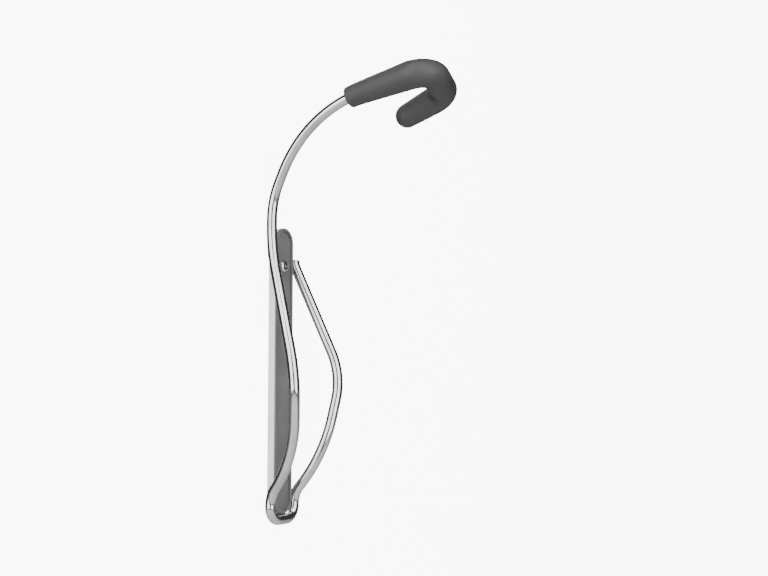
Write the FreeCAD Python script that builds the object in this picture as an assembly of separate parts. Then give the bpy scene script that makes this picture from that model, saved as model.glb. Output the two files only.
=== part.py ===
import FreeCAD, Part
import math
import os
from FreeCAD import Vector

# Bicycle wall rack. One bent steel rod makes the loop and the hook, and is welded to a
# narrow channel that two screws hold to the wall. A soft strip lies in the channel for
# the tyre, and a rubber sleeve covers the hook.
#
# Frame: the wall is the plane Y = 0 and the rack stands out from it towards -Y. +Z is up.
# The origin is on the wall, midway between the two screws.

# Driving dimensions, mm
rod_d = 7.0
rod_end_chamfer = 0.7
rod_off_wall = 5.0
low_bend_off_wall = 5.7
bend_r = 9.0

channel_w = 20.0
channel_l = 191.0
channel_depth = 5.6
channel_wall = 1.4
channel_back_round = 0.8
channel_hole_play = 0.6

strip_rise = 1.0
strip_rim = 2.2
strip_recess = 1.6
strip_front_round = 0.6
strip_hole_play = 0.3
fit_gap = 0.15

screw_from_end = 26.0
thread_d = 4.0
shank_d = 3.4
head_d = 7.6
head_h = 2.2
shank_past_wall = 32.0

sleeve_mouth_r = 7.0
sleeve_r = 9.1
sleeve_tip_r = 8.0
sleeve_rod_reach = 122.0

# How far a cutting shape runs past what it cuts, and how close counts as the same place
cut_past = 1.0
same_place = 0.01

# Sizes that follow from them
rod_r = rod_d / 2
rod_y = -rod_off_wall
low_bend_y = -low_bend_off_wall
leg_x = channel_w / 2 + rod_r
channel_low_z = -channel_l / 2
channel_high_z = channel_l / 2
base_z = channel_low_z - rod_d
low_screw_z = channel_low_z + screw_from_end
high_screw_z = channel_high_z - screw_from_end
strip_floor_y = -channel_depth - strip_rise + strip_recess

# Each corner of the rod is its x, its y, its height above the rod's lowest point, and the
# radius of the bend there. A leg runs from the lower bend out to its widest and back to
# the channel's side.
leg_corners = [
    (leg_x, low_bend_y, rod_r, bend_r),
    (leg_x, low_bend_y, 19.5, 18.0),
    (17.4, -27.0, 45.3, 90.0),
    (28.0, -34.0, 98.9, 53.5),
]
far_leg_corner = (leg_x, rod_y, 174.3, 13.0)
far_leg_end = (leg_x, rod_y, 177.5)
near_leg_corner = (-leg_x, rod_y, 182.4, 80.0)

# The near leg goes on past the channel and out to the hook, then round and back
hook_corners = [
    (-leg_x, rod_y, 215.0, 45.0),
    (-22.0, -37.0, 269.3, 95.0),
    (-22.0, -129.5, 286.3, 12.0),
    (20.0, -118.5, 281.0, 12.5),
]
hook_end = (20.0, -90.0, 269.5)

near_weld_z = base_z + 184.0
far_weld_z = base_z + 171.5


def above_base(corner):
    return Vector(corner[0], corner[1], base_z + corner[2])


def bent_edges(corners, start, end):
    """Straight runs from start to end, joined by an arc tangent to both at each corner."""
    no_run = 1e-6
    points = [start] + [above_base(corner) for corner in corners] + [end]
    edges = []
    at = start
    for i, corner in enumerate(corners):
        here = points[i + 1]
        back = (points[i] - here).normalize()
        ahead = (points[i + 2] - here).normalize()
        half = back.getAngle(ahead) / 2
        radius = corner[3]
        first = here + back * (radius / math.tan(half))
        last = here + ahead * (radius / math.tan(half))
        inward = (back + ahead).normalize()
        middle = here + inward * (radius / math.sin(half) - radius)
        if (first - at).Length > no_run:
            edges.append(Part.LineSegment(at, first).toShape())
        edges.append(Part.Arc(first, middle, last).toShape())
        at = last
    if (end - at).Length > no_run:
        edges.append(Part.LineSegment(at, end).toShape())
    return edges


def disc_wire(edge, at_end, radius):
    """A circle square to one end of an edge."""
    place = edge.LastParameter if at_end else edge.FirstParameter
    centre = edge.valueAt(place)
    normal = edge.tangentAt(place)
    return Part.Wire(Part.makeCircle(radius, centre, normal))


def sweep(edges, profiles):
    """A solid of round section along the edges."""
    spine = Part.Wire(edges)
    return spine.makePipeShell(profiles, True, False)


def rod_edges():
    """The rod's centre line, from the far leg's end to the hook's tip."""
    far_side = [far_leg_corner] + leg_corners[::-1]
    near_side = [(-x, y, z, r) for x, y, z, r in leg_corners] + [near_leg_corner]
    corners = far_side + near_side + hook_corners
    return bent_edges(corners, above_base(far_leg_end), above_base(hook_end))


def split_at_reach(edges, reach):
    """The last edges whose length adds up to reach, the first one cut to fit."""
    kept = []
    left = reach
    for edge in reversed(edges):
        if edge.Length < left:
            kept.insert(0, edge)
            left -= edge.Length
            continue
        at = edge.getParameterByLength(edge.Length - left)
        kept.insert(0, edge.Curve.toShape(at, edge.LastParameter))
        break
    return kept


def rod_frame():
    edges = rod_edges()
    rod = sweep(edges, [disc_wire(edges[0], False, rod_r)])
    end_z = above_base(far_leg_end).z
    end_ring = [e for e in rod.Edges if abs(e.BoundBox.ZMin - end_z) < same_place
                and e.BoundBox.ZLength < same_place]
    return rod.makeChamfer(rod_end_chamfer, end_ring)


def hook_sleeve(rod):
    """A tapered mouth, a round bend and a tapered, domed tip, hollowed by the rod."""
    edges = split_at_reach(rod_edges(), sleeve_rod_reach)
    bend_start = next(i for i, e in enumerate(edges) if i > 0 and e.Curve.TypeId == "Part::GeomCircle")
    mouth_edges = edges[:bend_start]
    bend_edges = edges[bend_start:-1]
    tip_edge = edges[-1]
    mouth = sweep(mouth_edges, [
        disc_wire(mouth_edges[0], False, sleeve_mouth_r),
        disc_wire(mouth_edges[-1], True, sleeve_r),
    ])
    bend = sweep(bend_edges, [disc_wire(bend_edges[0], False, sleeve_r)])
    tip = sweep([tip_edge], [
        disc_wire(tip_edge, False, sleeve_r),
        disc_wire(tip_edge, True, sleeve_tip_r),
    ])
    dome = Part.makeSphere(sleeve_tip_r, above_base(hook_end))
    return mouth.fuse([bend, tip, dome]).removeSplitter().cut(rod)


def stadium(width, low_z, high_z, front_y, back_y):
    """A plate with round ends, standing in the XZ plane between two distances off the wall."""
    r = width / 2
    left_low = Vector(-r, back_y, low_z + r)
    left_high = Vector(-r, back_y, high_z - r)
    right_high = Vector(r, back_y, high_z - r)
    right_low = Vector(r, back_y, low_z + r)
    outline = Part.Wire([
        Part.LineSegment(left_low, left_high).toShape(),
        Part.Arc(left_high, Vector(0, back_y, high_z), right_high).toShape(),
        Part.LineSegment(right_high, right_low).toShape(),
        Part.Arc(right_low, Vector(0, back_y, low_z), left_low).toShape(),
    ])
    return Part.Face(outline).extrude(Vector(0, front_y - back_y, 0))


def inset_stadium(inset, front_y, back_y):
    """The channel's own outline drawn in by inset on every side."""
    low_z = channel_low_z + inset
    high_z = channel_high_z - inset
    return stadium(channel_w - 2 * inset, low_z, high_z, front_y, back_y)


def screw_holes(diameter):
    length = 20.0
    return [
        Part.makeCylinder(diameter / 2, length, Vector(0, length / 2, z), Vector(0, -1, 0))
        for z in (low_screw_z, high_screw_z)
    ]


def mounting_channel():
    pan = inset_stadium(0, -channel_depth, 0)
    back_rim = [e for e in pan.Edges if abs(e.CenterOfMass.y) < same_place]
    pan = pan.makeFillet(channel_back_round, back_rim)
    hollow = inset_stadium(channel_wall, -channel_depth - cut_past, -channel_wall)
    return pan.cut(hollow).cut(Part.makeCompound(screw_holes(thread_d + channel_hole_play)))


def tread_strip():
    """Fills the channel, with a rim that laps over the channel's edge round a lower floor."""
    core = inset_stadium(channel_wall + fit_gap, -channel_depth, -channel_wall)
    cap = inset_stadium(0, -channel_depth - strip_rise, -channel_depth)
    front_rim = [e for e in cap.Edges if abs(e.CenterOfMass.y + channel_depth + strip_rise) < same_place]
    cap = cap.makeFillet(strip_front_round, front_rim)
    dish = inset_stadium(strip_rim, -channel_depth - strip_rise - cut_past, strip_floor_y)
    strip = core.fuse(cap).removeSplitter().cut(dish)
    return strip.cut(Part.makeCompound(screw_holes(thread_d + strip_hole_play)))


def weld_bead(foot, along, length, rod, channel):
    """A run of weld, laid in the corner between the rod and the channel."""
    bead_r = 1.9
    skin = 0.1
    inside = inset_stadium(skin, -channel_depth, -skin)
    bead = Part.makeCylinder(bead_r, length, foot, along)
    ends = [Part.makeSphere(bead_r, foot), Part.makeSphere(bead_r, foot + along * length)]
    bead = bead.fuse(ends).removeSplitter().cut([rod, channel, inside])
    return max(bead.Solids, key=lambda solid: solid.Volume)


def weld_beads(rod, channel):
    """One bead on each side of the channel and one under its lower end."""
    bead_l = 11.0
    in_from_leg = 2.3
    back_from_leg = 2.6
    below_channel = 1.2
    side_x = leg_x - in_from_leg
    side_y = rod_y + back_from_leg
    near_foot = Vector(-side_x, side_y, near_weld_z - bead_l / 2)
    far_foot = Vector(side_x, side_y, far_weld_z - bead_l / 2)
    lower_foot = Vector(-bead_l / 2, side_y, channel_low_z - below_channel)
    up = Vector(0, 0, 1)
    across = Vector(1, 0, 0)
    return {
        "near_weld": weld_bead(near_foot, up, bead_l, rod, channel),
        "far_weld": weld_bead(far_foot, up, bead_l, rod, channel),
        "lower_weld": weld_bead(lower_foot, across, bead_l, rod, channel),
    }


def wall_screw(z):
    """A pan-head wood screw with a cross recess. The thread starts just behind the channel."""
    seat = strip_floor_y
    thread_start = 0.5
    tip_l = 6.0
    tip_r = 0.3
    recess_w = 0.9
    recess_l = 3.6
    recess_h = 1.4
    recess_past = 0.1
    crown_r = 1.5
    toward_wall = Vector(0, 1, 0)
    thread_end = shank_past_wall - tip_l
    shank = Part.makeCylinder(shank_d / 2, thread_start - seat, Vector(0, seat, z), toward_wall)
    thread = Part.makeCylinder(
        thread_d / 2, thread_end - thread_start, Vector(0, thread_start, z), toward_wall)
    point = Part.makeCone(thread_d / 2, tip_r, tip_l, Vector(0, thread_end, z), toward_wall)
    front = seat - head_h
    head = Part.makeCylinder(head_d / 2, head_h, Vector(0, front, z), toward_wall)
    crown = [e for e in head.Edges if abs(e.CenterOfMass.y - front) < same_place]
    head = head.makeFillet(crown_r, crown)
    recess = [
        Part.makeBox(wide, recess_h, tall, Vector(-wide / 2, front - recess_past, z - tall / 2))
        for wide, tall in ((recess_w, recess_l), (recess_l, recess_w))
    ]
    return head.fuse([shank, thread, point]).removeSplitter().cut(recess)


def main():
    os.makedirs("parts", exist_ok=True)
    rod = rod_frame()
    channel = mounting_channel()
    shapes = {
        "rod_frame": rod,
        "hook_sleeve": hook_sleeve(rod),
        "mounting_channel": channel,
        "tread_strip": tread_strip(),
        **weld_beads(rod, channel),
        "top_screw": wall_screw(high_screw_z),
        "bottom_screw": wall_screw(low_screw_z),
    }
    for name, shape in shapes.items():
        shape.exportStep("parts/" + name + ".step")
        print(name, len(shape.Solids), "solids", round(shape.Volume, 1), "mm3", shape.isValid())
    length = sum(e.Length for e in rod_edges())
    print("rod section times length", round(math.pi * rod_r ** 2 * length, 1), "mm3")


main()
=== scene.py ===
import math
import bmesh
import bpy
from mathutils import Matrix, Vector


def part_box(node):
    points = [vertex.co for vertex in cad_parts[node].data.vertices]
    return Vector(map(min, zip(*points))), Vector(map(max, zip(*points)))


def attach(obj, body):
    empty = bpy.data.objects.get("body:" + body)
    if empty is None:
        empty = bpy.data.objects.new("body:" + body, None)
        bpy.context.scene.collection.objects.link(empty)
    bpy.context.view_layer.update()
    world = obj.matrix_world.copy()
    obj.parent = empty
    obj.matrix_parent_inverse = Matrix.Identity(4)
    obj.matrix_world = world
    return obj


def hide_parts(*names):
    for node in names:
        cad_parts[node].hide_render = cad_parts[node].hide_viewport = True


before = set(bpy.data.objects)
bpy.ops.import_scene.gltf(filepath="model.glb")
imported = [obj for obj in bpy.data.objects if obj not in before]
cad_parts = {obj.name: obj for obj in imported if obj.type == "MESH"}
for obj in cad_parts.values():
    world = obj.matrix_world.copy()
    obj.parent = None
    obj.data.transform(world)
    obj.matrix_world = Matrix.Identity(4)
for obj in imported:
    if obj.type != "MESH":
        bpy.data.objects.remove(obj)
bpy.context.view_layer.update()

mm = 0.001
print("frame loaded:", sorted(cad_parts))


# Camera, wall, floor and light

cameraSettings = {
    "lens": 56.25,
    "place": Vector((-664, -467, -18.5)) * mm,
    "heading": math.radians(30.0),   # turned from +X towards the wall
    "tilt": math.radians(5.2),
}

stageSettings = {
    "floorHeight": -0.55,
    "floorSize": 9.0,
    "wallGap": 0.3 * mm,             # the backdrop stands just behind the channel
    "wallWidth": 7.0,
    "wallHeight": 4.0,
    "wallMiddle": 1.0,
    "wallRoughness": 0.95,
    "floorRoughness": 0.9,
    "paleColour": (0.90, 0.90, 0.90, 1),
    "floorColour": (0.55, 0.55, 0.55, 1),
    "floorGlow": 0.3,
    "wallGlow": 9.0,
    "worldColour": (1.0, 1.0, 1.0, 1),
    "worldStrength": 0.07,           # a dark room, so that the rod's edges stay dark
    "backdropStrength": 2.5,         # but a pale one to look at
}

lightTarget = Vector((0, -50, 40)) * mm   # every light faces this point, in front of the channel

# Two tall softboxes either side of the camera, one above and one behind the wall
lightSettings = [
    {"name": "rightLight", "place": (-0.42, -1.23, 0.38), "wide": 1.25, "tall": 1.6, "power": 30},
    {"name": "leftLight", "place": (-1.24, 0.18, 0.38), "wide": 1.25, "tall": 1.6, "power": 30},
    {"name": "topLight", "place": (-0.65, -0.45, 1.35), "wide": 1.1, "tall": 0.9, "power": 12},
    {"name": "backLight", "place": (0.9, 1.2, 0.9), "wide": 1.2, "tall": 1.2, "power": 20},
]


def makeCamera(s):
    data = bpy.data.cameras.new("mainCamera")
    data.lens = s["lens"]
    camera = bpy.data.objects.new("mainCamera", data)
    bpy.context.scene.collection.objects.link(camera)
    level = math.cos(s["tilt"])
    ahead = Vector((math.cos(s["heading"]) * level, math.sin(s["heading"]) * level, math.sin(s["tilt"])))
    camera.location = s["place"]
    camera.rotation_mode = "QUATERNION"
    camera.rotation_quaternion = ahead.to_track_quat("-Z", "Y")
    bpy.context.scene.camera = camera


def makeLights(settings):
    for s in settings:
        data = bpy.data.lights.new(s["name"], "AREA")
        data.shape = "RECTANGLE"
        data.size = s["wide"]
        data.size_y = s["tall"]
        data.energy = s["power"]
        lamp = bpy.data.objects.new(s["name"], data)
        bpy.context.scene.collection.objects.link(lamp)
        lamp.location = s["place"]
        lamp.rotation_mode = "QUATERNION"
        lamp.rotation_quaternion = (lightTarget - lamp.location).to_track_quat("-Z", "Y")


def makeWorld(s):
    world = bpy.data.worlds.new("studioWorld")
    world.use_nodes = True
    tree = world.node_tree
    room = tree.nodes["Background"]
    room.inputs["Color"].default_value = s["worldColour"]
    room.inputs["Strength"].default_value = s["worldStrength"]
    backdrop = tree.nodes.new("ShaderNodeBackground")
    backdrop.inputs["Color"].default_value = s["worldColour"]
    backdrop.inputs["Strength"].default_value = s["backdropStrength"]
    rays = tree.nodes.new("ShaderNodeLightPath")
    mix = tree.nodes.new("ShaderNodeMixShader")
    tree.links.new(rays.outputs["Is Camera Ray"], mix.inputs["Fac"])
    tree.links.new(room.outputs["Background"], mix.inputs[1])
    tree.links.new(backdrop.outputs["Background"], mix.inputs[2])
    tree.links.new(mix.outputs["Shader"], tree.nodes["World Output"].inputs["Surface"])
    bpy.context.scene.world = world


# Meshes

def finishMesh(bm, name, sharpAngle=40):
    limit = math.radians(sharpAngle)
    for face in bm.faces:
        face.smooth = True
    for edge in bm.edges:
        edge.smooth = len(edge.link_faces) == 2 and edge.calc_face_angle(0) < limit
    mesh = bpy.data.meshes.new(name)
    bm.to_mesh(mesh)
    bm.free()
    piece = bpy.data.objects.new(name, mesh)
    bpy.context.scene.collection.objects.link(piece)
    return piece


mergeDistance = 0.0005 * mm


def cleanCopy(node):
    bm = bmesh.new()
    bm.from_mesh(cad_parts[node].data)
    bmesh.ops.remove_doubles(bm, verts=bm.verts, dist=mergeDistance)
    return bm


def inOrder(items):
    return list(dict.fromkeys(items))   # each item once, in the order given


# A ring of edges that is pushed along runs and turned round bends leaves a tube behind it

def startRing(bm, place, along, radius, segments):
    turn = along.to_track_quat("Z", "X").to_matrix().to_4x4()
    made = bmesh.ops.create_circle(bm, cap_ends=False, segments=segments, radius=radius,
                                   matrix=Matrix.Translation(place) @ turn)
    return inOrder(edge for vert in made["verts"] for edge in vert.link_edges)


def ringVerts(ring):
    return inOrder(vert for edge in ring for vert in edge.verts)


def ringCentre(ring):
    verts = ringVerts(ring)
    return sum((vert.co for vert in verts), Vector()) / len(verts)


def pushRing(bm, ring, step, growth=1.0):
    made = bmesh.ops.extrude_edge_only(bm, edges=ring)["geom"]
    verts = [item for item in made if isinstance(item, bmesh.types.BMVert)]
    bmesh.ops.translate(bm, verts=verts, vec=step)
    added = set(verts)
    ring = [item for item in made if isinstance(item, bmesh.types.BMEdge)
            and all(vert in added for vert in item.verts)]
    if growth != 1.0:
        centre = ringCentre(ring)
        bmesh.ops.scale(bm, verts=verts, vec=(growth,) * 3, space=Matrix.Translation(-centre))
    return ring


def turnRing(bm, ring, bend, steps):
    made = bmesh.ops.spin(bm, geom=ringVerts(ring) + ring, cent=bend["centre"], axis=bend["axis"],
                          angle=bend["angle"], steps=steps, use_duplicate=False)
    return [item for item in made["geom_last"] if isinstance(item, bmesh.types.BMEdge)]


def closeRing(bm, ring):
    bmesh.ops.contextual_create(bm, geom=ring)


def findBend(before, corner, after, radius):
    back = (before - corner).normalized()
    ahead = (after - corner).normalized()
    half = back.angle(ahead) / 2
    reach = radius / math.tan(half)
    inward = (back + ahead).normalized()
    return {
        "first": corner + back * reach,
        "last": corner + ahead * reach,
        "centre": corner + inward * (radius / math.sin(half)),
        "axis": (-back).cross(ahead).normalized(),
        "angle": math.pi - 2 * half,
        "radius": radius,
    }


# The rod: far leg, lower bend, near leg, arm and hook in one length. Heights count from
# the rod's lowest point.

rodSettings = {
    "radius": 3.5 * mm,
    "segments": 48,
    "stepAngle": math.radians(3.0),
    "fewestSteps": 3,
    "endChamfer": 0.7 * mm,
    "start": (13.5, -5.0, 177.5),
    "corners": [                     # x, y, height, bend radius
        (13.5, -5.0, 174.3, 13.0),
        (28.0, -34.0, 98.9, 53.5),
        (17.4, -27.0, 45.3, 90.0),
        (13.5, -5.7, 19.5, 18.0),
        (13.5, -5.7, 3.5, 9.0),
        (-13.5, -5.7, 3.5, 9.0),
        (-13.5, -5.7, 19.5, 18.0),
        (-17.4, -27.0, 45.3, 90.0),
        (-28.0, -34.0, 98.9, 53.5),
        (-13.5, -5.0, 182.4, 80.0),
        (-13.5, -5.0, 215.0, 45.0),
        (-22.0, -37.0, 269.3, 95.0),
        (-22.0, -129.5, 286.3, 12.0),
        (20.0, -118.5, 281.0, 12.5),
    ],
    "end": (20.0, -90.0, 269.5),
}


def rodPoint(corner):
    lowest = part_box("rod_frame")[0].z
    return Vector((corner[0] * mm, corner[1] * mm, corner[2] * mm + lowest))


def rodBends(s):
    points = [rodPoint(c) for c in [s["start"]] + s["corners"] + [s["end"]]]
    return [findBend(points[i], points[i + 1], points[i + 2], corner[3] * mm)
            for i, corner in enumerate(s["corners"])]


def makeRod(s):
    bm = bmesh.new()
    here = rodPoint(s["start"])
    along = (rodPoint(s["corners"][0]) - here).normalized()
    inner = s["radius"] - s["endChamfer"]
    ring = startRing(bm, here, along, inner, s["segments"])
    closeRing(bm, ring)
    ring = pushRing(bm, ring, along * s["endChamfer"], s["radius"] / inner)
    here += along * s["endChamfer"]
    for bend in rodBends(s):
        ring = pushRing(bm, ring, bend["first"] - here)
        steps = max(s["fewestSteps"], math.ceil(bend["angle"] / s["stepAngle"]))
        ring = turnRing(bm, ring, bend, steps)
        here = bend["last"]
    ring = pushRing(bm, ring, rodPoint(s["end"]) - here)
    closeRing(bm, ring)
    bmesh.ops.recalc_face_normals(bm, faces=bm.faces)
    return finishMesh(bm, "bentRod")


# The rubber sleeve: a tapered mouth on the arm, the hook's bend and a domed tip

sleeveSettings = {
    "mouthRadius": 7.0 * mm,
    "radius": 9.1 * mm,
    "tipRadius": 8.0 * mm,
    "lipSteps": 4,
    "hookSteps": 24,
    "returnSteps": 20,
    "bore": 3.55 * mm,
    "boreDepth": 5.0 * mm,
    "lip": 0.4 * mm,
    "reach": 122.0 * mm,             # how much of the rod it covers
    "segments": 64,
    "mouthSteps": 6,
    "taperSteps": 14,
    "domeSteps": 10,
}


def growRing(bm, ring, radius, wider):
    centre = ringCentre(ring)
    bmesh.ops.scale(bm, verts=ringVerts(ring), vec=(wider / radius,) * 3, space=Matrix.Translation(-centre))
    return wider


def makeSleeve(s, rod):
    armBend, firstBend, lastBend = rodBends(rod)[-3:]
    tip = rodPoint(rod["end"])
    straight = (firstBend["first"] - armBend["last"]).length
    between = (lastBend["first"] - firstBend["last"]).length
    tipRun = (tip - lastBend["last"]).length
    arcs = sum(bend["angle"] * bend["radius"] for bend in (firstBend, lastBend))
    mouthArc = s["reach"] - straight - between - tipRun - arcs
    turned = mouthArc / armBend["radius"]
    turnBack = Matrix.Rotation(-turned, 3, armBend["axis"])
    mouth = armBend["centre"] + turnBack @ (armBend["last"] - armBend["centre"])
    along = turnBack @ (firstBend["first"] - armBend["last"]).normalized()

    def radiusAt(gone):
        return s["mouthRadius"] + (s["radius"] - s["mouthRadius"]) * gone / (mouthArc + straight)

    bm = bmesh.new()
    # the bore, the flat mouth and its rounded lip
    ring = startRing(bm, mouth + along * s["boreDepth"], along, s["bore"], s["segments"])
    closeRing(bm, ring)
    ring = pushRing(bm, ring, -along * s["boreDepth"])
    flat = s["mouthRadius"] - s["lip"]
    ring = pushRing(bm, ring, Vector(), flat / s["bore"])
    radius = flat
    for k in range(1, s["lipSteps"] + 1):
        last = math.pi / 2 * (k - 1) / s["lipSteps"]
        turn = math.pi / 2 * k / s["lipSteps"]
        wider = flat + s["lip"] * math.sin(turn)
        ring = pushRing(bm, ring, along * s["lip"] * (math.cos(last) - math.cos(turn)), wider / radius)
        radius = wider
    # round the rest of the arm's bend and along the arm, growing steadily
    gone = s["lip"]
    left = mouthArc - gone
    for k in range(s["mouthSteps"]):
        ring = turnRing(bm, ring, dict(armBend, angle=left / s["mouthSteps"] / armBend["radius"]), 1)
        gone += left / s["mouthSteps"]
        radius = growRing(bm, ring, radius, radiusAt(gone))
    step = (firstBend["first"] - ringCentre(ring)) / s["taperSteps"]
    for k in range(s["taperSteps"]):
        gone += step.length
        wider = radiusAt(gone)
        ring = pushRing(bm, ring, step, wider / radius)
        radius = wider
    # the hook, its narrowing end and the domed tip
    ring = turnRing(bm, ring, firstBend, s["hookSteps"])
    ring = pushRing(bm, ring, lastBend["first"] - firstBend["last"])
    ring = turnRing(bm, ring, lastBend, s["returnSteps"])
    along = (tip - lastBend["last"]).normalized()
    for k in range(1, s["taperSteps"] + 1):
        wider = s["radius"] + (s["tipRadius"] - s["radius"]) * k / s["taperSteps"]
        ring = pushRing(bm, ring, along * tipRun / s["taperSteps"], wider / radius)
        radius = wider
    for k in range(1, s["domeSteps"]):
        last = math.pi / 2 * (k - 1) / s["domeSteps"]
        turn = math.pi / 2 * k / s["domeSteps"]
        forward = s["tipRadius"] * (math.sin(turn) - math.sin(last))
        ring = pushRing(bm, ring, along * forward, math.cos(turn) / math.cos(last))
    closeRing(bm, ring)
    bmesh.ops.recalc_face_normals(bm, faces=bm.faces)
    return finishMesh(bm, "hookSleeve", sharpAngle=50)


# The screws: the head as it is, and a shank with a thread wound on it behind the wall line

screwSettings = {
    "headHeight": 2.2 * mm,
    "seatSlack": 0.05 * mm,
    "runIn": 0.3 * mm,               # half the length over which the shank narrows to the core
    "threadSunk": 0.05 * mm,
    "shankRadius": 1.7 * mm,
    "coreRadius": 1.4 * mm,
    "threadRadius": 2.0 * mm,
    "threadHalf": 0.5 * mm,
    "threadFrom": 0.5 * mm,          # these two count from the wall
    "threadTo": 26.0 * mm,
    "pitch": 1.8 * mm,
    "tipRadius": 0.3 * mm,
    "stepsPerTurn": 28,
}


def makeScrew(node, name, s):
    low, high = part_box(node)
    axisZ = (low.z + high.z) / 2
    seat = low.y + s["headHeight"]
    bm = cleanCopy(node)
    behind = [vert for vert in bm.verts if vert.co.y > seat + s["seatSlack"]]
    bmesh.ops.delete(bm, geom=behind, context="VERTS")
    ring = [edge for edge in bm.edges if len(edge.link_faces) == 1]
    stations = [
        (s["threadFrom"] - s["runIn"], s["shankRadius"]),
        (s["threadFrom"] + s["runIn"], s["coreRadius"]),
        (s["threadTo"], s["coreRadius"]),
        (high.y, s["tipRadius"]),
    ]
    here = seat
    radius = s["shankRadius"]
    for place, wider in stations:
        ring = pushRing(bm, ring, Vector((0, place - here, 0)), wider / radius)
        here = place
        radius = wider
    closeRing(bm, ring)
    # the thread
    root = s["coreRadius"] - s["threadSunk"]
    start = s["threadFrom"] + s["threadHalf"]
    length = s["threadTo"] - start
    corners = [(root, -s["threadHalf"]), (s["threadRadius"], 0), (root, s["threadHalf"])]
    verts = [bm.verts.new((r, start + y, axisZ)) for r, y in corners]
    edges = [bm.edges.new((verts[i], verts[(i + 1) % len(verts)])) for i in range(len(verts))]
    closeRing(bm, edges)
    turns = length / s["pitch"]
    steps = int(turns * s["stepsPerTurn"])
    made = bmesh.ops.spin(bm, geom=verts + edges, cent=(0, 0, axisZ), axis=(0, 1, 0),
                          dvec=Vector((0, length / steps, 0)), angle=-turns * 2 * math.pi,
                          steps=steps, use_duplicate=False)
    closeRing(bm, [item for item in made["geom_last"] if isinstance(item, bmesh.types.BMEdge)])
    bmesh.ops.recalc_face_normals(bm, faces=bm.faces)
    return finishMesh(bm, name, sharpAngle=35)


# Materials. Effects that several of them use are node groups.

def addNode(tree, kind, links=None, **values):
    node = tree.nodes.new(kind)
    for key, value in values.items():
        setattr(node, key, value)
    for socket, source in (links or {}).items():
        if hasattr(source, "is_output"):
            tree.links.new(source, node.inputs[socket])
        else:
            node.inputs[socket].default_value = source
    return node


def newGroup(name, inputs, outputs):
    group = bpy.data.node_groups.new(name, "ShaderNodeTree")
    for label, kind, value in inputs:
        socket = group.interface.new_socket(name=label, in_out="INPUT", socket_type=kind)
        socket.default_value = value
    for label in outputs:
        group.interface.new_socket(name=label, in_out="OUTPUT", socket_type="NodeSocketFloat")
    return group, group.nodes.new("NodeGroupInput"), group.nodes.new("NodeGroupOutput")


patchShare = 0.75    # how much of the roughness follows the patches, the rest follows the fine grain


def makeGrainGroup():
    group, given, out = newGroup(
        "surfaceGrain",
        [("Scale", "NodeSocketFloat", 400.0), ("Patch Scale", "NodeSocketFloat", 30.0),
         ("Low", "NodeSocketFloat", 0.3), ("High", "NodeSocketFloat", 0.5)],
        ["Roughness", "Height", "Patches"])
    place = addNode(group, "ShaderNodeTexCoord").outputs["Object"]
    fine = addNode(group, "ShaderNodeTexNoise",
                   {"Vector": place, "Scale": given.outputs["Scale"], "Detail": 5.0, "Roughness": 0.6})
    patches = addNode(group, "ShaderNodeTexNoise",
                      {"Vector": place, "Scale": given.outputs["Patch Scale"],
                       "Detail": 4.0, "Distortion": 0.6})
    spread = addNode(group, "ShaderNodeMapRange",
                     {"Value": patches.outputs["Fac"], "From Min": 0.35, "From Max": 0.65})
    mixed = addNode(group, "ShaderNodeMath",
                    {0: spread.outputs[0], 1: patchShare}, operation="MULTIPLY")
    added = addNode(group, "ShaderNodeMath",
                    {0: fine.outputs["Fac"], 1: 1 - patchShare, 2: mixed.outputs[0]},
                    operation="MULTIPLY_ADD")
    rough = addNode(group, "ShaderNodeMapRange",
                    {"Value": added.outputs[0], "To Min": given.outputs["Low"],
                     "To Max": given.outputs["High"]})
    group.links.new(rough.outputs[0], out.inputs["Roughness"])
    group.links.new(fine.outputs["Fac"], out.inputs["Height"])
    group.links.new(spread.outputs[0], out.inputs["Patches"])
    return group


def makeWearGroup():
    group, given, out = newGroup(
        "edgeWear",
        [("Width", "NodeSocketFloat", 0.0006), ("Break Up", "NodeSocketFloat", 300.0),
         ("Amount", "NodeSocketFloat", 0.6)],
        ["Mask"])
    place = addNode(group, "ShaderNodeTexCoord").outputs["Object"]
    rounded = addNode(group, "ShaderNodeBevel", {"Radius": given.outputs["Width"]}, samples=6)
    plain = addNode(group, "ShaderNodeNewGeometry")
    alike = addNode(group, "ShaderNodeVectorMath",
                    {0: rounded.outputs["Normal"], 1: plain.outputs["Normal"]}, operation="DOT_PRODUCT")
    edge = addNode(group, "ShaderNodeMapRange",
                   {"Value": alike.outputs["Value"], "From Min": 0.995, "From Max": 0.9})
    noise = addNode(group, "ShaderNodeTexNoise",
                    {"Vector": place, "Scale": given.outputs["Break Up"], "Detail": 4.0})
    torn = addNode(group, "ShaderNodeMapRange",
                   {"Value": noise.outputs["Fac"], "From Min": 0.42, "From Max": 0.6})
    both = addNode(group, "ShaderNodeMath", {0: edge.outputs[0], 1: torn.outputs[0]}, operation="MULTIPLY")
    scaled = addNode(group, "ShaderNodeMath",
                     {0: both.outputs[0], 1: given.outputs["Amount"]}, operation="MULTIPLY")
    group.links.new(scaled.outputs[0], out.inputs["Mask"])
    return group


def placeGroup(tree, group, **values):
    node = tree.nodes.new("ShaderNodeGroup")
    node.node_tree = group
    for label, value in values.items():
        node.inputs[label.replace("_", " ")].default_value = value
    return node


def mixColour(tree, factor, first, second):
    node = addNode(tree, "ShaderNodeMix", data_type="RGBA")
    # a Mix node's colours go into its sockets 6 and 7 and come out of 2
    for socket, value in ((6, first), (7, second)):
        if hasattr(value, "is_output"):
            tree.links.new(value, node.inputs[socket])
        else:
            node.inputs[socket].default_value = value
    tree.links.new(factor, node.inputs[0])
    return node.outputs[2]


def startMaterial(name):
    material = bpy.data.materials.new(name)
    material.use_nodes = True
    return material, material.node_tree, material.node_tree.nodes["Principled BSDF"]


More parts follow.
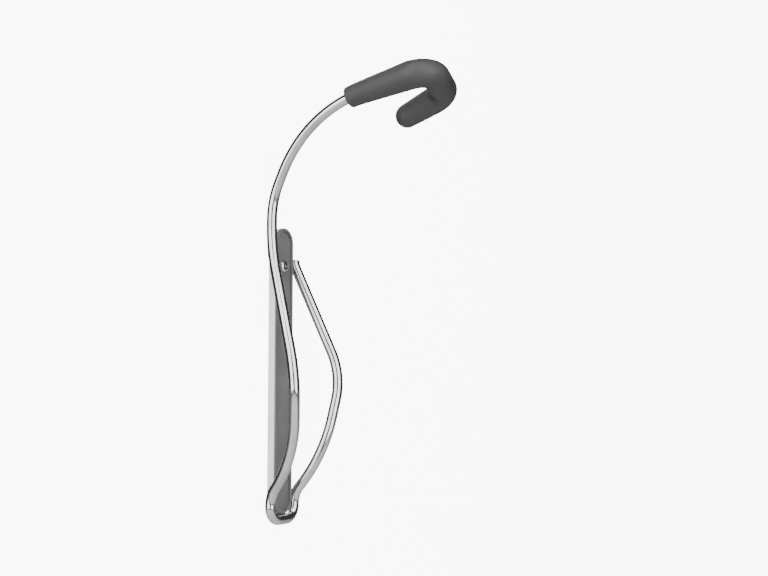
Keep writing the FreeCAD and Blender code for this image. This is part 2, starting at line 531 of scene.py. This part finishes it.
def addBump(tree, shader, height, strength, distance):
    bump = addNode(tree, "ShaderNodeBump", {"Height": height, "Strength": strength, "Distance": distance})
    tree.links.new(bump.outputs["Normal"], shader.inputs["Normal"])


rodFinish = {"colour": (0.58, 0.58, 0.59, 1), "dull": (0.46, 0.46, 0.47, 1), "low": 0.06, "high": 0.13}


def makeRodMaterial(s, grain):
    material, tree, shader = startMaterial("brightRodPlating")
    shader.inputs["Metallic"].default_value = 1.0
    marks = placeGroup(tree, grain, Scale=900.0, Patch_Scale=45.0, Low=s["low"], High=s["high"])
    colour = mixColour(tree, marks.outputs["Patches"], s["colour"], s["dull"])
    tree.links.new(colour, shader.inputs["Base Color"])
    tree.links.new(marks.outputs["Roughness"], shader.inputs["Roughness"])
    addBump(tree, shader, marks.outputs["Height"], strength=0.08, distance=0.04 * mm)
    return material


weldFinish = {"colour": (0.60, 0.60, 0.60, 1), "tint": (0.36, 0.33, 0.30, 1)}


def makeWeldMaterial(s, grain):
    material, tree, shader = startMaterial("weldBead")
    shader.inputs["Metallic"].default_value = 1.0
    marks = placeGroup(tree, grain, Scale=700.0, Patch_Scale=300.0, Low=0.28, High=0.5)
    colour = mixColour(tree, marks.outputs["Patches"], s["colour"], s["tint"])
    place = addNode(tree, "ShaderNodeTexCoord").outputs["Object"]
    ripples = addNode(tree, "ShaderNodeTexWave",
                      {"Vector": place, "Scale": 190.0, "Distortion": 3.0, "Detail": 2.0},
                      bands_direction="DIAGONAL")
    tree.links.new(colour, shader.inputs["Base Color"])
    tree.links.new(marks.outputs["Roughness"], shader.inputs["Roughness"])
    addBump(tree, shader, ripples.outputs["Fac"], strength=0.6, distance=0.3 * mm)
    return material


rubberFinish = {"colour": (0.022, 0.022, 0.022, 1), "pale": (0.031, 0.031, 0.031, 1)}


def makeRubberMaterial(s, grain):
    material, tree, shader = startMaterial("sleeveRubber")
    marks = placeGroup(tree, grain, Scale=1500.0, Patch_Scale=38.0, Low=0.48, High=0.66)
    colour = mixColour(tree, marks.outputs["Patches"], s["colour"], s["pale"])
    tree.links.new(colour, shader.inputs["Base Color"])
    tree.links.new(marks.outputs["Roughness"], shader.inputs["Roughness"])
    addBump(tree, shader, marks.outputs["Height"], strength=0.35, distance=0.12 * mm)
    return material


channelFinish = {
    "colour": (0.84, 0.84, 0.84, 1),
    "shade": (0.76, 0.76, 0.76, 1),
    "bare": (0.42, 0.42, 0.43, 1),
}


def makeChannelMaterial(s, grain, wear):
    material, tree, shader = startMaterial("channelPaint")
    marks = placeGroup(tree, grain, Scale=1300.0, Patch_Scale=26.0, Low=0.34, High=0.46)
    worn = placeGroup(tree, wear, Width=0.0005, Break_Up=420.0, Amount=0.55)
    paint = mixColour(tree, marks.outputs["Patches"], s["colour"], s["shade"])
    colour = mixColour(tree, worn.outputs["Mask"], paint, s["bare"])
    tree.links.new(colour, shader.inputs["Base Color"])
    tree.links.new(worn.outputs["Mask"], shader.inputs["Metallic"])
    tree.links.new(marks.outputs["Roughness"], shader.inputs["Roughness"])
    addBump(tree, shader, marks.outputs["Height"], strength=0.2, distance=0.1 * mm)
    return material


stripFinish = {
    "colour": (0.090, 0.090, 0.090, 1),
    "scuff": (0.120, 0.120, 0.119, 1),
    "rub": (0.15, 0.15, 0.15, 1),
}


def makeStripMaterial(s, grain, wear):
    material, tree, shader = startMaterial("stripPlastic")
    marks = placeGroup(tree, grain, Scale=1800.0, Patch_Scale=22.0, Low=0.42, High=0.58)
    worn = placeGroup(tree, wear, Width=0.0004, Break_Up=500.0, Amount=0.35)
    base = mixColour(tree, marks.outputs["Patches"], s["colour"], s["scuff"])
    colour = mixColour(tree, worn.outputs["Mask"], base, s["rub"])
    tree.links.new(colour, shader.inputs["Base Color"])
    tree.links.new(marks.outputs["Roughness"], shader.inputs["Roughness"])
    addBump(tree, shader, marks.outputs["Height"], strength=0.3, distance=0.1 * mm)
    return material


screwFinish = {"colour": (0.80, 0.80, 0.79, 1), "tint": (0.64, 0.64, 0.61, 1)}


def makeScrewMaterial(s, grain):
    material, tree, shader = startMaterial("screwZinc")
    shader.inputs["Metallic"].default_value = 1.0
    marks = placeGroup(tree, grain, Scale=1600.0, Patch_Scale=220.0, Low=0.16, High=0.32)
    colour = mixColour(tree, marks.outputs["Patches"], s["colour"], s["tint"])
    tree.links.new(colour, shader.inputs["Base Color"])
    tree.links.new(marks.outputs["Roughness"], shader.inputs["Roughness"])
    addBump(tree, shader, marks.outputs["Height"], strength=0.15, distance=0.06 * mm)
    return material


# The floor, and a wall that shows only from the front, so that the back can be looked at

def makeStage(s):
    floorMesh = bmesh.new()
    bmesh.ops.create_grid(floorMesh, x_segments=1, y_segments=1, size=s["floorSize"] / 2,
                          matrix=Matrix.Translation((0, 0, s["floorHeight"])))
    floor = finishMesh(floorMesh, "studioFloor")
    wallMesh = bmesh.new()
    upright = Matrix.Rotation(math.pi / 2, 4, "X")
    size = Matrix.Diagonal((s["wallWidth"] / 2, s["wallHeight"] / 2, 1, 1))
    bmesh.ops.create_grid(wallMesh, x_segments=1, y_segments=1, size=1,
                          matrix=Matrix.Translation((0, s["wallGap"], s["wallMiddle"])) @ upright @ size)
    wall = finishMesh(wallMesh, "studioWall")
    wall.visible_shadow = False
    wall.visible_diffuse = False
    wall.visible_glossy = False

    pale, _, shader = startMaterial("studioPale")
    shader.inputs["Base Color"].default_value = s["floorColour"]
    shader.inputs["Roughness"].default_value = s["floorRoughness"]
    shader.inputs["Emission Color"].default_value = s["floorColour"]
    shader.inputs["Emission Strength"].default_value = s["floorGlow"]
    floor.data.materials.append(pale)

    oneSided, tree, shader = startMaterial("wallPale")
    shader.inputs["Base Color"].default_value = s["paleColour"]
    shader.inputs["Roughness"].default_value = s["wallRoughness"]
    shader.inputs["Emission Color"].default_value = s["paleColour"]
    shader.inputs["Emission Strength"].default_value = s["wallGlow"]
    clear = tree.nodes.new("ShaderNodeBsdfTransparent")
    behind = tree.nodes.new("ShaderNodeNewGeometry")
    mix = tree.nodes.new("ShaderNodeMixShader")
    tree.links.new(behind.outputs["Backfacing"], mix.inputs["Fac"])
    tree.links.new(shader.outputs["BSDF"], mix.inputs[1])
    tree.links.new(clear.outputs["BSDF"], mix.inputs[2])
    tree.links.new(mix.outputs["Shader"], tree.nodes["Material Output"].inputs["Surface"])
    wall.data.materials.append(oneSided)


def settle(piece, material, node):
    piece.data.materials.clear()
    piece.data.materials.append(material)
    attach(piece, "root")
    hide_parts(node)


makeCamera(cameraSettings)
makeLights(lightSettings)
makeWorld(stageSettings)
makeStage(stageSettings)
print("camera, lights and stage set")

grainGroup = makeGrainGroup()
wearGroup = makeWearGroup()
print("node groups made")

settle(makeRod(rodSettings), makeRodMaterial(rodFinish, grainGroup), "rod_frame")
print("rod made")

settle(makeSleeve(sleeveSettings, rodSettings), makeRubberMaterial(rubberFinish, grainGroup),
       "hook_sleeve")
print("sleeve made")

settle(finishMesh(cleanCopy("mounting_channel"), "mountingChannel", sharpAngle=30),
       makeChannelMaterial(channelFinish, grainGroup, wearGroup), "mounting_channel")
settle(finishMesh(cleanCopy("tread_strip"), "treadStrip", sharpAngle=30),
       makeStripMaterial(stripFinish, grainGroup, wearGroup), "tread_strip")
weldMaterial = makeWeldMaterial(weldFinish, grainGroup)
for nodeName, pieceName in (("near_weld", "nearWeld"), ("far_weld", "farWeld"), ("lower_weld", "lowerWeld")):
    settle(finishMesh(cleanCopy(nodeName), pieceName, sharpAngle=60), weldMaterial, nodeName)
print("channel, strip and welds made")

screwMaterial = makeScrewMaterial(screwFinish, grainGroup)
for nodeName, pieceName in (("top_screw", "topScrew"), ("bottom_screw", "bottomScrew")):
    settle(makeScrew(nodeName, pieceName, screwSettings), screwMaterial, nodeName)
print("screws made")
